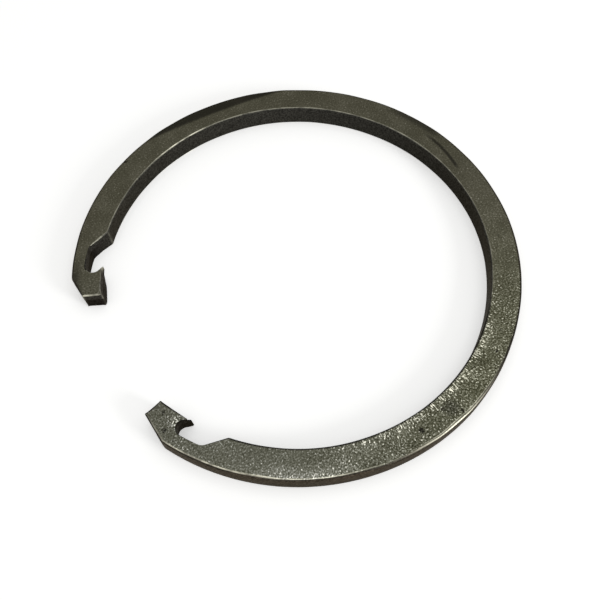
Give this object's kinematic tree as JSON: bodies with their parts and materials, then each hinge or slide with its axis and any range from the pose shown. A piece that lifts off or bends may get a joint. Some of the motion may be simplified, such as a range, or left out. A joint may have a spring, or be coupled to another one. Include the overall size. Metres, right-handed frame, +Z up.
{
  "type": "circlip retaining ring",
  "caption": "Flat spring-steel retaining ring for a bore's groove, with hooked, notched ends that pliers pull together.",
  "frame": {"origin": "the ring's axis where it meets the bottom face, on which the ring lies", "axes": "+Z up along the ring's axis, the gap between the hooked ends towards -X, one hook on each side of the XZ plane"},
  "size_m": [0.0903, 0.095, 0.005],
  "materials": {
    "spring_steel": "tumbled and oiled, dark olive grey satin"
  },
  "bodies": {
    "root": {"retaining_ring": "spring_steel"}
  },
  "joints": []
}
